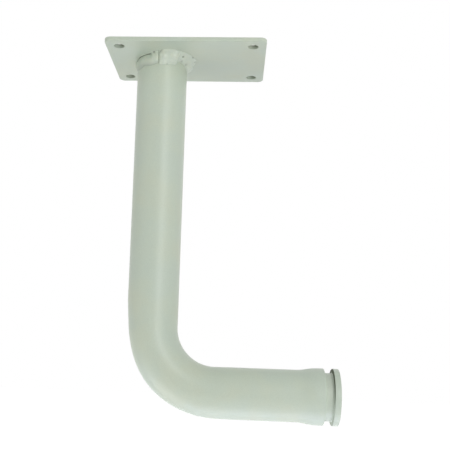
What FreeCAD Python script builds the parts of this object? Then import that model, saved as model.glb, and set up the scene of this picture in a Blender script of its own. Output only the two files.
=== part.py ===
import FreeCAD, Part
import math
import os

import Sketcher
from FreeCAD import Placement, Rotation, Vector

# Ceiling mount bracket: a plate for the ceiling, a bent tube welded under it and a turned end fitting.
# Row frame: origin at the centre of the bolt pattern, on the face that meets the ceiling,
# +Z up into the ceiling, +X the way the arm points, +Y across the plate. Millimetres and degrees.

SIZES = [
    # mounting plate
    ("plate_length", 150.0, "along the arm"),
    ("plate_width", 100.0, "across the arm"),
    ("plate_thickness", 4.0, "flat strip"),
    ("corner_radius", 6.0, "plate corners, seen from below"),
    ("edge_softness", 0.8, "rounded plate edges under the paint"),
    ("bolt_hole_dia", 10.0, "clears an M8 anchor"),
    ("bolt_spacing_long", 125.0, "hole to hole along X"),
    ("bolt_spacing_wide", 75.0, "hole to hole along Y"),
    ("cable_hole_ledge", 1.55, "how far the plate reaches in under the tube's bore"),
    # bent tube
    ("overall_height", 350.0, "ceiling face to the bottom of the end fitting"),
    ("overall_length", 225.0, "plate edge to the end of the arm"),
    ("tube_set_in", 50.0, "tube axis from the plate edge behind it"),
    ("tube_dia", 48.3, "outside diameter"),
    ("tube_wall", 2.6, "wall"),
    ("bend_radius", 61.0, "centre line of the bend"),
    # swaged mouth of the tube and the fitting in it
    ("mouth_rise", 2.1, "how far mouth and lip stand out beyond the tube"),
    ("mouth_length", 5.8, "straight part of the mouth"),
    ("flare_length", 20.6, "run-out from the tube to the mouth"),
    ("groove_width", 7.6, "between mouth and lip"),
    ("groove_depth", 4.0, "below the lip"),
    ("lip_width", 6.0, "flange at the end of the arm"),
    ("lip_chamfer", 0.6, "broken rims of the lip"),
    ("pilot_length", 12.0, "fitting inside the tube's bore, behind the swage"),
    ("pilot_wall", 2.05, "fitting's wall inside the tube's bore"),
    ("neck_wall", 4.25, "fitting's wall under the groove"),
    # weld between tube and plate: four runs, named by where they sit round the tube
    ("weld_bulge", 1.4, "how far a run's crest stands out of the straight line between its toes"),
    ("left_start", 188.0, "degrees round the tube from +X"),
    ("left_sweep", 77.0, "degrees"),
    ("left_down_tube", 10.6, "toe on the tube"),
    ("left_on_plate", 2.2, "toe on the plate"),
    ("front_start", 262.0, "degrees"),
    ("front_sweep", 52.0, "degrees"),
    ("front_down_tube", 10.0, "toe on the tube"),
    ("front_on_plate", 8.2, "toe on the plate"),
    ("right_start", 311.0, "degrees"),
    ("right_sweep", 100.0, "degrees"),
    ("right_down_tube", 6.4, "toe on the tube"),
    ("right_on_plate", 8.4, "toe on the plate"),
    ("back_start", 48.0, "degrees"),
    ("back_sweep", 143.0, "degrees"),
    ("back_down_tube", 7.6, "toe on the tube"),
    ("back_on_plate", 6.8, "toe on the plate"),
]


class Size:
    """A length or angle with the expression over the sheet that gives it."""

    def __init__(self, text, number):
        self.text = text
        self.number = number

    def joined(self, sign, other, number):
        other_text = other.text if isinstance(other, Size) else repr(float(other))
        return Size("(%s %s %s)" % (self.text, sign, other_text), number)

    def __add__(self, other):
        return self.joined("+", other, self.number + plain(other))

    def __sub__(self, other):
        return self.joined("-", other, self.number - plain(other))

    def __mul__(self, other):
        return self.joined("*", other, self.number * plain(other))

    def __truediv__(self, other):
        return self.joined("/", other, self.number / plain(other))

    def __neg__(self):
        return Size("(-1 * %s)" % self.text, -self.number)

    def root(self):
        return Size("sqrt(%s)" % self.text, math.sqrt(self.number))


def plain(size):
    return size.number if isinstance(size, Size) else float(size)


ZERO = Size("0", 0.0)
NEAR = 1e-4

doc = FreeCAD.newDocument("ceiling_mount_bracket")
sheet = doc.addObject("Spreadsheet::Sheet", "sizes")
given = {}
for row, (alias, number, note) in enumerate(SIZES, start=1):
    sheet.set("A%d" % row, alias)
    sheet.set("B%d" % row, repr(number))
    sheet.set("C%d" % row, note)
    sheet.setAlias("B%d" % row, alias)
    given[alias] = Size("sizes." + alias, number)
doc.recompute()

# Places that pieces share, worked out once.
tube_x = given["tube_set_in"] - given["plate_length"] / 2
tube_top = -given["plate_thickness"]
tube_radius = given["tube_dia"] / 2
tube_bore = tube_radius - given["tube_wall"]
mouth_radius = tube_radius + given["mouth_rise"]
mouth_bore = mouth_radius - given["tube_wall"]
neck_radius = mouth_radius - given["groove_depth"]
pilot_bore = tube_bore - given["pilot_wall"]
outlet_bore = neck_radius - given["neck_wall"]
cable_hole_radius = tube_bore - given["cable_hole_ledge"]
arm_z = mouth_radius - given["overall_height"]
bend_x = tube_x + given["bend_radius"]
bend_z = arm_z + given["bend_radius"]
arm_end = given["overall_length"] - given["plate_length"] / 2
lip_start = arm_end - given["lip_width"]
mouth_end = lip_start - given["groove_width"]
flare_end = mouth_end - given["mouth_length"]
flare_start = flare_end - given["flare_length"]
pilot_start = flare_start - given["pilot_length"]


def bind(thing, name, size):
    """Tie one property of an object to the sheet."""
    thing.setExpression(name, size.text)


def stand(thing, x=None, y=None, z=None):
    """Tie the place of an object to the sheet, axis by axis."""
    for axis, size in (("x", x), ("y", y), ("z", z)):
        if size is not None:
            bind(thing, "Placement.Base." + axis, size)


def feature(kind, name, **properties):
    made = doc.addObject(kind, name)
    made.Label = name
    for key, setting in properties.items():
        setattr(made, key, setting)
    return made


def sketch_in(body, name, role):
    """A sketch on one of a body's own origin planes."""
    sketch = body.newObject("Sketcher::SketchObject", name)
    plane = [item for item in body.Origin.OriginFeatures if item.Role == role][0]
    sketch.AttachmentSupport = [(plane, "")]
    sketch.MapMode = "FlatFace"
    return sketch


def fix(sketch, kind, where, size):
    """One driving dimension, tied to the sheet."""
    index = sketch.addConstraint(Sketcher.Constraint(kind, *where, size.number))
    sketch.setExpression("Constraints[%d]" % index, size.text)


def pin(sketch, geometry, point, across, along):
    """Hold one point of a sketch at a place given by the sheet."""
    for kind, axis, size in (("DistanceX", -2, across), ("DistanceY", -1, along)):
        if abs(size.number) < NEAR:
            sketch.addConstraint(Sketcher.Constraint("PointOnObject", geometry, point, axis))
        else:
            fix(sketch, kind, (-1, 1, geometry, point), size)


def at(across, along):
    return Vector(across.number, along.number, 0)


def circle(sketch, across, along, radius):
    geometry = sketch.addGeometry(Part.Circle(at(across, along), Vector(0, 0, 1), radius.number), False)
    pin(sketch, geometry, 3, across, along)
    fix(sketch, "Radius", (geometry,), radius)


def arc(centre, radius, start, end):
    return Part.ArcOfCircle(Part.Circle(centre, Vector(0, 0, 1), radius), start, end)


def swage(sketch, low, high):
    """Two equal arcs that leave the small radius and meet the large one without a corner."""
    run = high[0].number - low[0].number
    rise = high[1].number - low[1].number
    radius = (run * run + rise * rise) / (4 * rise)
    turn = 2 * math.atan2(rise, run)
    near = Vector(low[0].number, low[1].number + radius, 0)
    far = Vector(high[0].number, high[1].number - radius, 0)
    first = sketch.addGeometry(arc(near, radius, -math.pi / 2, turn - math.pi / 2), False)
    second = sketch.addGeometry(arc(far, radius, math.pi / 2, turn + math.pi / 2), False)
    sketch.addConstraint(Sketcher.Constraint("Tangent", first, 2, second, 2))
    sketch.addConstraint(Sketcher.Constraint("Equal", first, second))
    sketch.addConstraint(Sketcher.Constraint("Vertical", first, 3, first, 1))
    sketch.addConstraint(Sketcher.Constraint("Vertical", second, 3, second, 1))
    return {"low": (first, 1), "high": (second, 1)}


def outline(sketch, corners, swages=()):
    """A closed outline of straight sides through the corners, with the named sides swaged."""
    ends = []
    count = len(corners)
    for side in range(count):
        here, there = corners[side], corners[(side + 1) % count]
        if side in swages:
            rising = there[1].number > here[1].number
            low, high = (here, there) if rising else (there, here)
            curve = swage(sketch, low, high)
            ends.append((curve["low"], curve["high"]) if rising else (curve["high"], curve["low"]))
        else:
            geometry = sketch.addGeometry(Part.LineSegment(at(*here), at(*there)), False)
            ends.append(((geometry, 1), (geometry, 2)))
    for side in range(count):
        arriving = ends[side - 1][1]
        leaving = ends[side][0]
        sketch.addConstraint(Sketcher.Constraint("Coincident", *arriving, *leaving))
        pin(sketch, leaving[0], leaving[1], *corners[side])


def rounded_box(sketch, half_length, half_width, radius):
    """A rectangle about the origin whose corners are arcs."""
    out_x, out_y = half_length.number, half_width.number
    in_x, in_y = out_x - radius.number, out_y - radius.number
    runs = [((-in_x, -out_y), (in_x, -out_y)), ((out_x, -in_y), (out_x, in_y)),
            ((in_x, out_y), (-in_x, out_y)), ((-out_x, in_y), (-out_x, -in_y))]
    centres = [(in_x, -in_y), (in_x, in_y), (-in_x, in_y), (-in_x, -in_y)]
    sides, rounds = [], []
    for turn, ((start, end), centre) in enumerate(zip(runs, centres), start=-1):
        sides.append(sketch.addGeometry(Part.LineSegment(Vector(*start, 0), Vector(*end, 0)), False))
        quarter = arc(Vector(*centre, 0), radius.number, turn * math.pi / 2, (turn + 1) * math.pi / 2)
        rounds.append(sketch.addGeometry(quarter, False))
    for corner in range(4):
        sketch.addConstraint(Sketcher.Constraint("Tangent", sides[corner], 2, rounds[corner], 1))
        sketch.addConstraint(Sketcher.Constraint("Tangent", rounds[corner], 2, sides[(corner + 1) % 4], 1))
        level = "Vertical" if corner % 2 else "Horizontal"
        sketch.addConstraint(Sketcher.Constraint(level, sides[corner]))
    for corner in range(3):
        sketch.addConstraint(Sketcher.Constraint("Equal", rounds[corner], rounds[corner + 1]))
    fix(sketch, "Radius", (rounds[0],), radius)
    fix(sketch, "DistanceX", (-1, 1, sides[1], 1), half_length)
    fix(sketch, "DistanceX", (sides[3], 1, -1, 1), half_length)
    fix(sketch, "DistanceY", (-1, 1, sides[2], 1), half_width)
    fix(sketch, "DistanceY", (sides[0], 1, -1, 1), half_width)


def faces_of(shape, wanted):
    return ["Face%d" % (place + 1) for place, face in enumerate(shape.Faces) if wanted(face)]


# Mounting plate: cut strip with rounded corners, four bolt holes and the cable hole.
plate = feature("PartDesign::Body", "mounting_plate")
plate_outline = sketch_in(plate, "plate_outline", "XY_Plane")
rounded_box(plate_outline, given["plate_length"] / 2, given["plate_width"] / 2, given["corner_radius"])
strip = plate.newObject("PartDesign::Pad", "strip")
strip.Profile = plate_outline
strip.Reversed = True
bind(strip, "Length", given["plate_thickness"])
doc.recompute()

soft_edges = plate.newObject("PartDesign::Fillet", "soft_edges")
soft_edges.Base = (strip, faces_of(strip.Shape, lambda face: face.BoundBox.ZLength < NEAR))
bind(soft_edges, "Radius", given["edge_softness"])

cable_hole_sketch = sketch_in(plate, "cable_hole_sketch", "XY_Plane")
circle(cable_hole_sketch, tube_x, ZERO, cable_hole_radius)
cable_hole = plate.newObject("PartDesign::Pocket", "cable_hole")
cable_hole.Profile = cable_hole_sketch
cable_hole.Type = "ThroughAll"

bolt_hole_sketch = sketch_in(plate, "bolt_hole_sketch", "XY_Plane")
circle(bolt_hole_sketch, -given["bolt_spacing_long"] / 2, -given["bolt_spacing_wide"] / 2,
       given["bolt_hole_dia"] / 2)
bolt_hole = plate.newObject("PartDesign::Pocket", "bolt_hole")
bolt_hole.Profile = bolt_hole_sketch
bolt_hole.Type = "ThroughAll"
doc.recompute()

bolt_holes = plate.newObject("PartDesign::MultiTransform", "bolt_holes")
bolt_holes.Originals = [bolt_hole]
directions = []
for name, axis, spacing in (("along_plate", "H_Axis", "bolt_spacing_long"),
                            ("across_plate", "V_Axis", "bolt_spacing_wide")):
    repeat = plate.newObject("PartDesign::LinearPattern", name)
    repeat.Direction = (bolt_hole_sketch, [axis])
    repeat.Occurrences = 2
    bind(repeat, "Length", given[spacing])
    directions.append(repeat)
bolt_holes.Transformations = directions
plate.Tip = bolt_holes
doc.recompute()

# Bent tube: drawn along leg, bend and arm, then the mouth swaged out over the fitting.
tube = feature("PartDesign::Body", "bent_tube")
tube_path = sketch_in(tube, "tube_path", "XZ_Plane")
leg_line = tube_path.addGeometry(Part.LineSegment(at(tube_x, tube_top), at(tube_x, bend_z)), False)
quarter_turn = arc(at(bend_x, bend_z), given["bend_radius"].number, math.pi, 1.5 * math.pi)
bend_arc = tube_path.addGeometry(quarter_turn, False)
arm_line = tube_path.addGeometry(Part.LineSegment(at(bend_x, arm_z), at(flare_start, arm_z)), False)
tube_path.addConstraint(Sketcher.Constraint("Tangent", leg_line, 2, bend_arc, 1))
tube_path.addConstraint(Sketcher.Constraint("Tangent", bend_arc, 2, arm_line, 1))
tube_path.addConstraint(Sketcher.Constraint("Vertical", leg_line))
tube_path.addConstraint(Sketcher.Constraint("Horizontal", arm_line))
pin(tube_path, leg_line, 1, tube_x, tube_top)
pin(tube_path, arm_line, 2, flare_start, arm_z)
fix(tube_path, "Radius", (bend_arc,), given["bend_radius"])

tube_section = sketch_in(tube, "tube_section", "XY_Plane")
bind(tube_section, "AttachmentOffset.Base.z", tube_top)
circle(tube_section, tube_x, ZERO, tube_radius)
circle(tube_section, tube_x, ZERO, tube_bore)
doc.recompute()

drawn_tube = tube.newObject("PartDesign::AdditivePipe", "drawn_tube")
drawn_tube.Profile = tube_section
drawn_tube.Spine = (tube_path, ["Edge1", "Edge2", "Edge3"])
doc.recompute()

mouth_section = sketch_in(tube, "mouth_section", "XZ_Plane")
bind(mouth_section, "AttachmentOffset.Base.y", arm_z)
outline(mouth_section, [
    (flare_start, tube_radius), (flare_end, mouth_radius), (mouth_end, mouth_radius), (mouth_end, mouth_bore),
    (flare_end, mouth_bore), (flare_start, tube_bore),
], swages=(0, 4))
swaged_mouth = tube.newObject("PartDesign::Revolution", "swaged_mouth")
swaged_mouth.Profile = mouth_section
swaged_mouth.ReferenceAxis = (mouth_section, ["H_Axis"])
swaged_mouth.Angle = 360.0
doc.recompute()

# End fitting, turned in one piece: a thin pilot in the tube's bore, a collar that fills the swaged mouth,
# and the neck and lip that stand out of it.
fitting = feature("PartDesign::Body", "end_spigot")
stand(fitting, z=arm_z)
fitting_section = sketch_in(fitting, "fitting_section", "XZ_Plane")
outline(fitting_section, [
    (pilot_start, pilot_bore), (mouth_end, pilot_bore), (mouth_end, outlet_bore), (arm_end, outlet_bore),
    (arm_end, mouth_radius), (lip_start, mouth_radius), (lip_start, neck_radius), (mouth_end, neck_radius),
    (mouth_end, mouth_bore), (flare_end, mouth_bore), (flare_end, tube_bore), (pilot_start, tube_bore),
])
turned_blank = fitting.newObject("PartDesign::Revolution", "turned_blank")
turned_blank.Profile = fitting_section
turned_blank.ReferenceAxis = (fitting_section, ["H_Axis"])
turned_blank.Angle = 360.0
doc.recompute()


def is_lip_face(face):
    """The lip's round outer face, whose two rims are the ones broken."""
    box = face.BoundBox
    return abs(box.XMin - lip_start.number) < NEAR and abs(box.XMax - arm_end.number) < NEAR and \
        face.Surface.TypeId == "Part::GeomCylinder" and face.Surface.Radius > neck_radius.number


lip_rims = fitting.newObject("PartDesign::Chamfer", "lip_rims")
lip_rims.Base = (turned_blank, faces_of(turned_blank.Shape, is_lip_face))
bind(lip_rims, "Size", given["lip_chamfer"])
doc.recompute()

# Weld: four hand-laid runs of different size round the tube, melted into one deposit.
weld_runs = []
for side in ("left", "front", "right", "back"):
    down_tube = given[side + "_down_tube"]
    on_plate = given[side + "_on_plate"]
    bulge = given["weld_bulge"]
    section = feature("Sketcher::SketchObject", side + "_weld_section")
    section.Placement = Placement(Vector(0, 0, 0), Rotation(Vector(1, 0, 0), 90))
    slope = (down_tube * down_tube + on_plate * on_plate).root()
    crest_out = tube_radius + on_plate / 2 + bulge * down_tube / slope
    crest_down = -down_tube / 2 - bulge * on_plate / slope
    outline(section, [(tube_radius, ZERO), (tube_radius, -down_tube),
                      (crest_out, crest_down), (tube_radius + on_plate, ZERO)])
    run = feature("Part::Revolution", side + "_weld_run", Source=section, Axis=Vector(0, 0, 1), Solid=True)
    bind(run, "Angle", given[side + "_sweep"])
    run.Placement = Placement(Vector(0, 0, 0), Rotation(Vector(0, 0, 1), given[side + "_start"].number))
    bind(run, "Placement.Rotation.Angle", given[side + "_start"])
    stand(run, x=tube_x, z=tube_top)
    weld_runs.append(run)
weld = feature("Part::MultiFuse", "plate_weld", Shapes=weld_runs, Refine=False)
doc.recompute()

# Every object has to be sound before anything is written.
for thing in doc.Objects:
    if "Invalid" in thing.State or "Error" in thing.State:
        raise RuntimeError("%s: %s" % (thing.Name, thing.State))

os.makedirs("parts", exist_ok=True)
for piece in (plate, tube, fitting, weld):
    shape = piece.Shape
    if shape.isNull() or not shape.isValid() or len(shape.Solids) != 1:
        raise RuntimeError("%s isn't one sound solid" % piece.Label)
    shape.exportStep("parts/%s.step" % piece.Label)
    box = shape.BoundBox
    print("%-16s %10.1f mm3  x %.2f..%.2f  y %.2f..%.2f  z %.2f..%.2f" % (
        piece.Label, shape.Volume, box.XMin, box.XMax, box.YMin, box.YMax, box.ZMin, box.ZMax))
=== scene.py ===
"""Ceiling mount bracket: a steel plate, a bent tube welded under it and a turned fitting in the tube's end.

The pieces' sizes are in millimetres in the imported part's own frame, and turn into metres where a mesh is written.
The classes follow the pieces: MountingPlate, BentTube, EndSpigot and PlateWeld. Then comes the Studio round them,
in metres.
"""

import logging
import math
from dataclasses import dataclass, field
from enum import Enum
from typing import Any, Sequence

import bmesh
import bpy
import numpy as np
from mathutils import Matrix, Vector
from mathutils.geometry import delaunay_2d_cdt

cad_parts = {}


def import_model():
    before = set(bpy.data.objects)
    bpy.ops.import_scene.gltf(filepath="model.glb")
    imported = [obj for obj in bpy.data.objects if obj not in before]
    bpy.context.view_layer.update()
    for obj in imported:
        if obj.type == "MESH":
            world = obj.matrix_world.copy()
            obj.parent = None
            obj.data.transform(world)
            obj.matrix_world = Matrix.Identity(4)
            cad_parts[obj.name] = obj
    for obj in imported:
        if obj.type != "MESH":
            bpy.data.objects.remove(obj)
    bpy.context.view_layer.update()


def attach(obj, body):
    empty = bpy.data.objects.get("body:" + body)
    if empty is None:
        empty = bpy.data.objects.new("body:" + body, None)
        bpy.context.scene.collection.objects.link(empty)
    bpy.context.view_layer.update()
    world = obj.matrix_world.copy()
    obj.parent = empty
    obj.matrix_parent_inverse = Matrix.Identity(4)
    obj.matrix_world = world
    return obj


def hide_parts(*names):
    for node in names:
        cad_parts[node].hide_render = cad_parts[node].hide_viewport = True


log = logging.getLogger("bracket")

MM = 0.001
BODY = "root"
MIX_FIRST, MIX_SECOND, MIX_RESULT = 6, 7, 2
CLOUD_MIDDLE = (0.3, 0.7)
WHITE = (1.0, 1.0, 1.0, 1.0)
SAME_PLACE = 1e-7
FLAT_TOLERANCE = 1e-5

Point = tuple[float, float, float]
Colour = tuple[float, float, float]
Pair = tuple[float, float]
Contour = list[tuple[Vector, Vector]]
Socket = bpy.types.NodeSocket


class Slot(Enum):
    """The finish slots' names."""

    POWDER_COAT = "powder_coat"
    COATED_WELD = "coated_weld"


def linear(red: float, green: float, blue: float) -> tuple[float, float, float, float]:
    """Turn a colour as seen on a screen into the shader's linear values.

    Args:
        red: Red, 0 to 255.
        green: Green, 0 to 255.
        blue: Blue, 0 to 255.

    Returns:
        Linear red, green, blue and an alpha of 1.
    """
    parts = []
    for level in (red, green, blue):
        share = level / 255.0
        parts.append(share / 12.92 if share <= 0.04045 else ((share + 0.055) / 1.055) ** 2.4)
    return (parts[0], parts[1], parts[2], 1.0)


def ramp(value: float, low: float, high: float) -> float:
    """Rise smoothly from 0, where the value is low or less, to 1, where it is high or more."""
    share = min(max((value - low) / (high - low), 0.0), 1.0)
    return share * share * (3.0 - 2.0 * share)


def heading(turn: float) -> Vector:
    """Turn an angle in radians into a direction in a flat plane."""
    return Vector((math.cos(turn), math.sin(turn)))


class Wiring:
    """A node tree, with short calls to add nodes and fill their inputs."""

    def __init__(self, tree: bpy.types.NodeTree) -> None:
        """Take the tree that the nodes go into."""
        self.tree = tree

    @classmethod
    def fresh(cls, owner: bpy.types.ID) -> "Wiring":
        """Empty the node tree of a material or a world.

        Args:
            owner: The material or the world.

        Returns:
            The wiring of its tree.
        """
        owner.use_nodes = True
        owner.node_tree.nodes.clear()
        return cls(owner.node_tree)

    def join(self, value: Any, target: Socket) -> None:
        """Bring an output or a plain value to an input.

        Args:
            value: A socket or a plain value.
            target: The input.
        """
        if isinstance(value, Socket):
            self.tree.links.new(value, target)
        else:
            target.default_value = value

    def add(self, kind: str, *first: Any, options: dict[str, Any] | None = None, **named: Any) -> bpy.types.Node:
        """Add a node and fill its inputs with sockets or plain values.

        Args:
            kind: The node's type name.
            *first: What goes into its first inputs, in their order.
            options: Properties of the node to set.
            **named: Inputs by name, with spaces written as underscores.

        Returns:
            The new node.
        """
        node = self.tree.nodes.new(kind)
        for name, value in (options or {}).items():
            setattr(node, name, value)
        for place, value in enumerate(first):
            self.join(value, node.inputs[place])
        for name, value in named.items():
            self.join(value, node.inputs[name.replace("_", " ")])
        return node

    def sum(self, operation: str, *values: Any) -> Socket:
        """Add one step of arithmetic on sockets or numbers."""
        return self.add("ShaderNodeMath", *values, options={"operation": operation}).outputs[0]

    def times(self, first: Any, *others: Any) -> Socket:
        """Multiply sockets or numbers in their order.

        Args:
            first: The first of them.
            *others: The others.

        Returns:
            Their product.
        """
        for other in others:
            first = self.sum("MULTIPLY", first, other)
        return first

    def scaled(self, vector: Any, by: Any) -> Socket:
        """Scale a vector or a colour."""
        return self.add("ShaderNodeVectorMath", vector, Scale=by, options={"operation": "SCALE"}).outputs["Vector"]

    def mark(self, name: str) -> Socket:
        """Read one of the mesh's marks in a material."""
        return self.add("ShaderNodeAttribute", options={"attribute_name": name}).outputs["Fac"]

    def noise(self, place: Socket, scale: float, detail: float, roughness: float) -> Socket:
        """Add a cloudy pattern."""
        clouds = self.add("ShaderNodeTexNoise", Vector=place, Scale=scale, Detail=detail, Roughness=roughness)
        return clouds.outputs["Fac"]

    def spread(self, clouds: Socket, low: float, high: float) -> Socket:
        """Spread the middle part of a cloudy pattern over a range."""
        return self.add("ShaderNodeMapRange", clouds, *CLOUD_MIDDLE, low, high).outputs["Result"]


class ShapeTree(Wiring):
    """A Geometry Nodes tree with named inputs, which ends in real and painted geometry."""

    def __init__(self, name: str, **values: Any) -> None:
        """Make the tree with an input for each value.

        Args:
            name: The tree's name.
            **values: What goes into each input: a number or the finish's material.
        """
        super().__init__(bpy.data.node_groups.new(name, "GeometryNodeTree"))
        face = self.tree.interface
        face.new_socket("Geometry", in_out="OUTPUT", socket_type="NodeSocketGeometry")
        face.new_socket("Geometry", in_out="INPUT", socket_type="NodeSocketGeometry")
        self.settings = {}
        for label, value in values.items():
            kind = {int: "Int", float: "Float"}.get(type(value), "Material")
            socket = face.new_socket(label, in_out="INPUT", socket_type="NodeSocket" + kind)
            self.settings[socket.identifier] = value
        self.given = self.add("NodeGroupInput").outputs

    def read(self, name: str, kind: str = "FLOAT") -> Socket:
        """Read one of the mesh's marks in the tree."""
        reader = self.add("GeometryNodeInputNamedAttribute", Name=name, options={"data_type": kind})
        return reader.outputs["Attribute"]

    def close(self, **place: Socket) -> None:
        """End the tree: put the points in their places, smooth the geometry, make it real and paint it.

        Args:
            **place: The geometry, and its points' Position or Offset.
        """
        shaped = self.add("GeometryNodeSetPosition", **place).outputs["Geometry"]
        for kind in ("GeometryNodeSetShadeSmooth", "GeometryNodeRealizeInstances"):
            shaped = self.add(kind, Geometry=shaped).outputs["Geometry"]
        painted = self.add("GeometryNodeSetMaterial", Geometry=shaped, Material=self.given["finish"])
        self.add("NodeGroupOutput", Geometry=painted.outputs["Geometry"])

    def run(self, made: bpy.types.Object) -> bpy.types.Object:
        """Shape an object by the tree and leave a plain mesh.

        Args:
            made: The object.

        Returns:
            The same object.
        """
        modifier = made.modifiers.new(self.tree.name, "NODES")
        modifier.node_group = self.tree
        for identifier, value in self.settings.items():
            modifier[identifier] = value
        return Mesher.settle(made)


@dataclass(frozen=True)
class PowderCoat:
    """Satin powder coat, baked on steel: pale grey-green, with a fine orange peel."""

    name: str = "pale_powder_coat"
    slot: Slot = Slot.POWDER_COAT
    colour: Colour = (199.0, 210.0, 193.0)
    cooler: Colour = (197.0, 209.0, 194.0)
    warmer: Colour = (201.0, 210.0, 191.0)
    cloud_scale: float = 22.0
    cloud_edges: Pair = (0.38, 0.62)
    peel_scale: float = 620.0
    peel_depth: float = 0.00002
    peel_strength: float = 0.55
    speck_fineness: float = 1.7
    grain: float = 0.03
    gloss_low: float = 0.33
    gloss_high: float = 0.39
    dulling: float = 0.55
    # Colours of painted light and painted shade, mixed in where the mesh marks them; the painted shade also dulls the
    # gloss.
    painted_light: Colour | None = None
    painted_shade: Colour | None = None

    def material(self) -> bpy.types.Material:
        """Build the finish as a node material.

        Returns:
            The material.
        """
        paint = bpy.data.materials.new(self.name)
        wiring = Wiring.fresh(paint)
        place = wiring.add("ShaderNodeTexCoord").outputs["Object"]
        clouds = wiring.noise(place, self.cloud_scale, detail=3.0, roughness=0.55)
        specks = wiring.noise(place, self.peel_scale * self.speck_fineness, detail=2.0, roughness=0.6)
        peel = wiring.noise(place, self.peel_scale, detail=1.5, roughness=0.45)
        shade = wiring.add("ShaderNodeValToRGB", clouds)
        first, last = shade.color_ramp.elements
        first.position, first.color = self.cloud_edges[0], linear(*self.cooler)
        last.position, last.color = self.cloud_edges[1], linear(*self.warmer)
        shade.color_ramp.elements.new(0.5).color = linear(*self.colour)
        level = wiring.spread(specks, 1.0 - self.grain, 1.0 + self.grain)
        speckled = wiring.scaled(self.tint(wiring, shade.outputs["Color"]), level)
        gloss = wiring.spread(clouds, self.gloss_low, self.gloss_high)
        if self.painted_shade is not None:
            gloss = wiring.sum("MULTIPLY_ADD", wiring.mark("painted_shade"), self.dulling, gloss)
        relief = wiring.add("ShaderNodeBump", Strength=self.peel_strength, Distance=self.peel_depth, Height=peel)
        skin = wiring.add("ShaderNodeBsdfPrincipled", Base_Color=speckled, Roughness=gloss,
                          Normal=relief.outputs["Normal"], IOR=1.5)
        wiring.add("ShaderNodeOutputMaterial", Surface=skin.outputs["BSDF"])
        return paint

    def tint(self, wiring: Wiring, colour: Socket) -> Socket:
        """Paint light onto the places that the mesh marks for painted light, then paint shade onto those that it marks
        for painted shade.

        Args:
            wiring: The material's nodes.
            colour: The coat's colour.

        Returns:
            The colour to use.
        """
        for mark, other in (("painted_light", self.painted_light), ("painted_shade", self.painted_shade)):
            if other is not None:
                mix = wiring.add("ShaderNodeMix", wiring.mark(mark), options={"data_type": "RGBA"})
                wiring.join(colour, mix.inputs[MIX_FIRST])
                wiring.join(linear(*other), mix.inputs[MIX_SECOND])
                colour = mix.outputs[MIX_RESULT]
        return colour


@dataclass(frozen=True)
class WeldCoat(PowderCoat):
    """The same coat over the weld: a little paler, with painted highlights on its lumps and painted shade in the gap,
    along the toe on the tube and in the pits.
    """

    name: str = "powder_coat_on_weld"
    slot: Slot = Slot.COATED_WELD
    colour: Colour = (211.0, 221.0, 205.0)
    cooler: Colour = (208.0, 219.0, 204.0)
    warmer: Colour = (214.0, 222.0, 204.0)
    cloud_scale: float = 150.0
    peel_scale: float = 480.0
    peel_depth: float = 0.00005
    gloss_low: float = 0.26
    gloss_high: float = 0.40
    # Painted highlight on the lumps; painted shade in the gap, along the toe on the tube and in the pits.
    painted_light: Colour | None = (232.0, 240.0, 226.0)
    painted_shade: Colour | None = (62.0, 70.0, 52.0)


@dataclass(frozen=True)
class PlateCoat(PowderCoat):
    """The same coat on the plate, with painted shade and a duller gloss down in the bolt holes."""

    name: str = "powder_coat_on_plate"
    gloss_low: float = 0.36
    gloss_high: float = 0.42
    # Painted shade down in the bolt holes.
    painted_shade: Colour | None = (104.0, 112.0, 92.0)


@dataclass(frozen=True)
class FittingCoat(PowderCoat):
    """The same coat on the turned fitting, with painted shade on the lip's back face and painted light on the neck."""

    name: str = "powder_coat_on_fitting"
    # Painted light on the neck; painted shade on the lip's back face.
    painted_light: Colour | None = (208.0, 218.0, 203.0)
    painted_shade: Colour | None = (92.0, 98.0, 84.0)


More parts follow.
